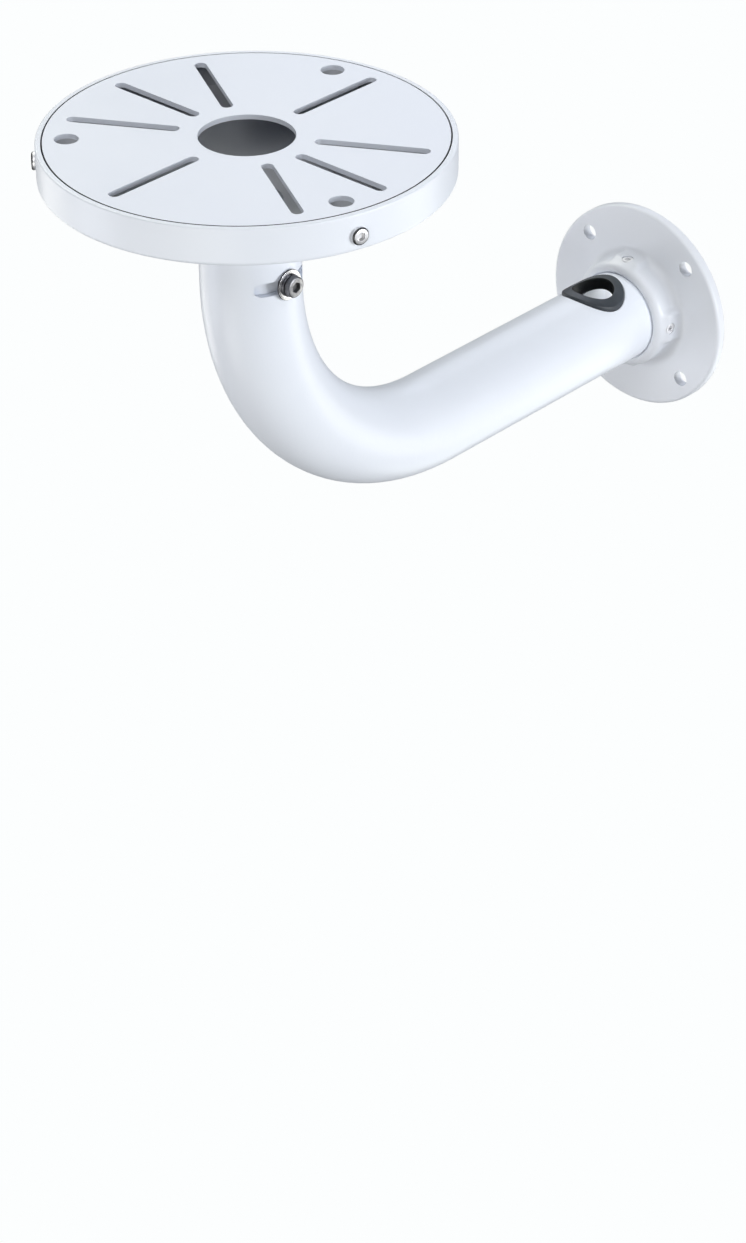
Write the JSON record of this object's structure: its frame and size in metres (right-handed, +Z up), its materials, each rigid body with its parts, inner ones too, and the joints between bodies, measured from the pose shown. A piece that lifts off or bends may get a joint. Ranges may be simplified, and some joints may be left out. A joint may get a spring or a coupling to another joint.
{
  "type": "camera wall bracket",
  "caption": "Wall bracket: a bent tube on a round flange carries a hanging cup whose slotted plate takes the device; the cup turns and clamps on the tube.",
  "frame": {"origin": "centre of the wall flange's back face, on the arm's axis", "axes": "+Y into the wall along the arm's axis, +Z up, the arm runs along -Y and the cup hangs down"},
  "size_m": [0.16, 0.325, 0.212],
  "materials": {
    "flange_paint": "satin powder coat, off-white",
    "tube_paint": "satin powder coat, off-white",
    "cup_paint": "satin powder coat, off-white",
    "plate_paint": "satin powder coat, off-white",
    "grommet_rubber": "matt black",
    "screw_steel": "bright",
    "washer_steel": "bright",
    "grub_steel": "satin"
  },
  "bodies": {
    "arm": {"wall_flange": "flange_paint", "arm_tube": "tube_paint", "cable_grommet": "grommet_rubber", "grub_screw_1": "grub_steel", "grub_screw_2": "grub_steel", "grub_screw_3": "grub_steel", "grub_screw_4": "grub_steel"},
    "cup": {"cup_housing": "cup_paint", "mounting_plate": "plate_paint", "rim_screw_1": "screw_steel", "rim_screw_2": "screw_steel", "rim_screw_3": "screw_steel", "clamp_screw_1": "screw_steel", "flat_washer_1": "washer_steel", "spring_washer_1": "washer_steel", "clamp_screw_2": "screw_steel", "flat_washer_2": "washer_steel", "spring_washer_2": "washer_steel"}
  },
  "joints": [
    {"name": "cup_swivel", "type": "hinge", "parent": "arm", "child": "cup", "pos_m": [0, -0.245, -0.109], "axis": [0, 0, 1], "range_deg": [-33, 33]}
  ]
}
